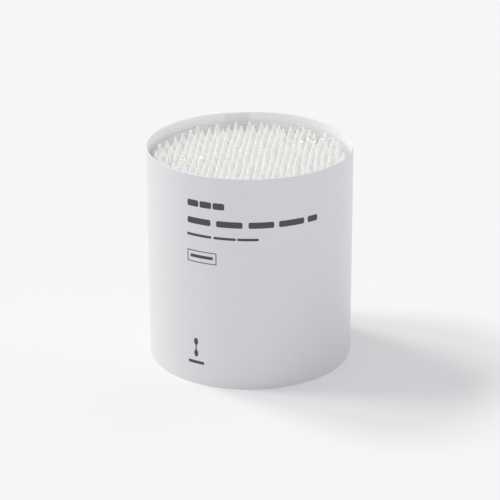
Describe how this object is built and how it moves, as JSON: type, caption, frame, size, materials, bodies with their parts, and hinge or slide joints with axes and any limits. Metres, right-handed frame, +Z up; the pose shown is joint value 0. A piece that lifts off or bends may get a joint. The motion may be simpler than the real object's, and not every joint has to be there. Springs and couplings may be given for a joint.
{
  "type": "cotton swab refill pack",
  "caption": "Round paper sleeve, open at both ends, around a clear film wrap full of upright paper-stick cotton swabs with pointed tips.",
  "frame": {"origin": "on the floor under the middle of the pack", "axes": "+Z up along the sleeve and the swabs; the printed front faces -Y and the sleeve's glued lap is at the back, at +Y"},
  "size_m": [0.0722, 0.0722, 0.0773],
  "materials": {
    "sleeve_paper": "satin",
    "clear_film": "gloss",
    "cotton": "matte",
    "stick_paper": "matte"
  },
  "bodies": {
    "root": {"paper_sleeve": "sleeve_paper", "film_wrap": "clear_film", "sticks_band_1": "stick_paper", "sticks_band_2": "stick_paper", "sticks_band_3": "stick_paper", "sticks_band_4": "stick_paper", "sticks_band_5": "stick_paper", "sticks_band_6": "stick_paper", "sticks_band_7": "stick_paper", "sticks_band_8": "stick_paper", "upper_tips_band_1": "cotton", "upper_tips_band_2": "cotton", "upper_tips_band_3": "cotton", "upper_tips_band_4": "cotton", "upper_tips_band_5": "cotton", "upper_tips_band_6": "cotton", "upper_tips_band_7": "cotton", "upper_tips_band_8": "cotton", "lower_tips_band_1": "cotton", "lower_tips_band_2": "cotton", "lower_tips_band_3": "cotton", "lower_tips_band_4": "cotton", "lower_tips_band_5": "cotton", "lower_tips_band_6": "cotton", "lower_tips_band_7": "cotton", "lower_tips_band_8": "cotton"}
  },
  "joints": []
}
